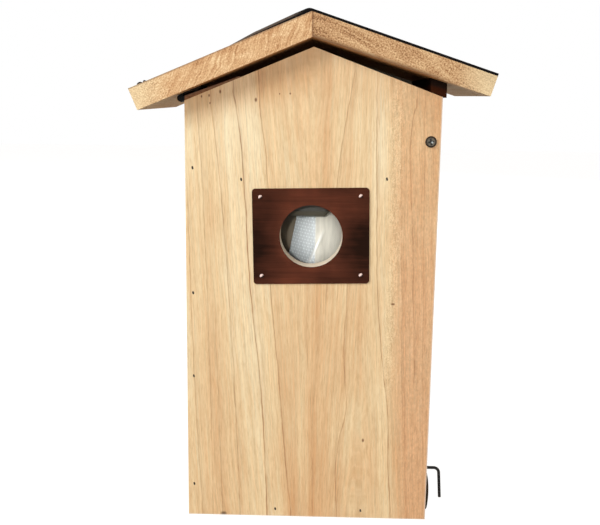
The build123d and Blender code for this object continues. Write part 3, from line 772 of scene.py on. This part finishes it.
def domes(heads, axes, sides):
    """Low domes. Each head is (middle, (half width, half length, height)), and the axes are the
    directions of the three."""
    across, along, out = (Vector(axis) for axis in axes)
    points, faces = [], []
    for middle, (wide, tall, height) in heads:
        start, middle = len(points), Vector(middle)
        for ring in range(RINGS):
            angle = math.radians(90 * ring / RINGS)
            for side in range(sides):
                turn = 2 * math.pi * side / sides
                spot = middle + across * (wide * math.cos(angle) * math.cos(turn))
                spot += along * (tall * math.cos(angle) * math.sin(turn))
                points.append(tuple(spot + out * (height * math.sin(angle))))
        points.append(tuple(middle + out * height))
        for ring in range(RINGS - 1):
            first = start + ring * sides
            for side in range(sides):
                a, b = first + side, first + (side + 1) % sides
                faces.append((a, b, b + sides, a + sides))
        last = start + (RINGS - 1) * sides
        for side in range(sides):
            faces.append((last + side, last + (side + 1) % sides, start + RINGS * sides))
        faces.append(tuple(start + side for side in range(sides - 1, -1, -1)))
    return points, faces


# The axes of a head on each face
ON_FRONT = ((1, 0, 0.2), (-0.2, 0, 1), (0, -1, 0))
UNDER_ROOF = ((0.922, 0, 0.388), (0, 1, 0), (0.388, 0, -0.922))
OVER_LEFT = ((0.922, 0, 0.388), (0, 1, 0), (-0.386, 0, 0.922))
SCREW_X, SCREW_SIZE = -70.5, (2.0, 2.0, 0.7)
# How far back each hinge's screws are
FRONT_HINGE, REAR_HINGE = (FACE + 8, FACE + 24), (FACE + 84, FACE + 100)

brads = [((x, FACE + 0.02, z), (0.62, 1.1, 0.16)) for x, z in BRADS]
roof_screws = [((SCREW_X, y, 269.75), SCREW_SIZE) for y in FRONT_HINGE + REAR_HINGE]
wall_screws = [((SCREW_X, y, 266.75), SCREW_SIZE) for y in REAR_HINGE]
tacks = (((-99.9, ROOF_FRONT + 1.6, 272.7), (1.7, 1.4, 1.0)),
         ((-97.0, ROOF_FRONT + 1.6, 273.9), (1.0, 1.2, 0.9)))
nail = steel("nail_dark", linear(34, 27, 18), linear(56, 42, 26), 0.7, 1.8, 0.5)
tack = steel("tack_dark", linear(34, 26, 22), linear(52, 40, 32), 0.7, 1.8, 0.5)
for name, shape, body, slot, metal in (
    ("front_brads", (brads, ON_FRONT, 10), "box", "screw_steel", nail),
    ("roof_hinge_screws", (roof_screws, UNDER_ROOF, 14), "roof", "hinge_steel", nail),
    ("wall_hinge_screws", (wall_screws, OVER_LEFT, 14), "box", "hinge_steel", nail),
    ("eave_tacks", (tacks, OVER_LEFT, 12), "roof", "roof_sheet", tack),
):
    piece(name, *domes(*shape), body, slot, metal)


# The camera of the picture, at the photograph's place

CAMERA = (5.081 + MIDDLE, -524.319 + FACE, 267.304)
YAW, PITCH, ROLL = (math.radians(v) for v in (1.260, 10.817, 0.785))
FOCAL, PICTURE_WIDTH = 874.413, 600     # in pixels
SENSOR = 36
forward = Vector((-math.sin(YAW) * math.cos(PITCH), math.cos(YAW) * math.cos(PITCH),
                  -math.sin(PITCH)))
right = Vector((math.cos(YAW), math.sin(YAW), 0))
up = right.cross(forward)
turned_right = math.cos(ROLL) * right + math.sin(ROLL) * up
turned_up = -math.sin(ROLL) * right + math.cos(ROLL) * up
data = bpy.data.cameras.new("camera")
data.sensor_width = SENSOR
data.lens = FOCAL / PICTURE_WIDTH * SENSOR
data.clip_start = 0.01
camera = stand("camera", data)
camera.matrix_world = Matrix((
    (turned_right.x, turned_up.x, -forward.x, CAMERA[0] / 1000),
    (turned_right.y, turned_up.y, -forward.y, CAMERA[1] / 1000),
    (turned_right.z, turned_up.z, -forward.z, CAMERA[2] / 1000),
    (0, 0, 0, 1),
))
bpy.context.scene.camera = camera


# Floor, world and lamps

WHITE = (1, 1, 1, 1)


def seen(tree):
    """1 for what the camera and glossy surfaces look at, and 0 for the light that falls."""
    path = tree.nodes.new("ShaderNodeLightPath")
    either = tree.nodes.new("ShaderNodeMath")
    either.operation = "MAXIMUM"
    for n, ray in enumerate(("Is Camera Ray", "Is Glossy Ray")):
        tree.links.new(path.outputs[ray], either.inputs[n])
    return either.outputs[0]


mesh = bpy.data.meshes.new("floor")
mesh.from_pydata([(-4, -4, 0), (4, -4, 0), (4, 4, 0), (-4, 4, 0)], [], [(0, 1, 2, 3)])
floor = stand("floor", mesh)
pale = Graph("floor")
mesh.materials.append(pale.finish((0.35, 0.35, 0.35, 1.0), 0.9, 0.1))
glow = pale.fill(pale.node("ShaderNodeEmission"), WHITE, pale.mul(seen(pale.tree), 0.86))
both = pale.fill(pale.node("ShaderNodeAddShader"), pale.shader.outputs[0], glow)
pale.put(both, pale.out.inputs["Surface"])

world = bpy.data.worlds.new("world")
bpy.context.scene.world = world
world.use_nodes = True
tree = world.node_tree
back = tree.nodes["Background"]
back.inputs["Color"].default_value = (0.285, 0.262, 0.24, 1)
white = tree.nodes.new("ShaderNodeBackground")
white.inputs["Color"].default_value = WHITE
blend = tree.nodes.new("ShaderNodeMixShader")
for n, socket in enumerate((seen(tree), back.outputs[0], white.outputs[0])):
    tree.links.new(socket, blend.inputs[n])
tree.links.new(blend.outputs[0], tree.nodes["World Output"].inputs[0])


def lamp(name, kind, place, target, power, **settings):
    """A lamp that shines from a place at a target, both in metres."""
    data = bpy.data.lights.new(name, kind)
    data.energy = power
    for key, value in settings.items():
        setattr(data, key, value)
    made = stand(name, data)
    made.location = place
    made.rotation_euler = (Vector(target) - Vector(place)).to_track_quat("-Z", "Y").to_euler()


for name, place, height, power, size in (
    ("key", (-1.45, -1.5, 1.35), 0.16, 32, 0.9),
    ("front", (-0.05, -1.7, 0.42), 0.18, 12.5, 0.5),
    ("rear", (0.9, 1.9, 1.1), 0.16, 16, 0.9),
):
    lamp(name, "AREA", place, (0, 0, height), power, shape="DISK", size=size)
# A narrow one beside the camera, which shines through the entrance
lamp("beam", "SPOT", ((MIDDLE - 12) / 1000, (FACE - 524) / 1000, 0.275),
     (MIDDLE / 1000, FACE / 1000, HOLE / 1000), 17,
     spot_size=math.radians(4.1), spot_blend=0.3, shadow_soft_size=0.012)

bpy.context.scene.view_settings.view_transform = "Standard"
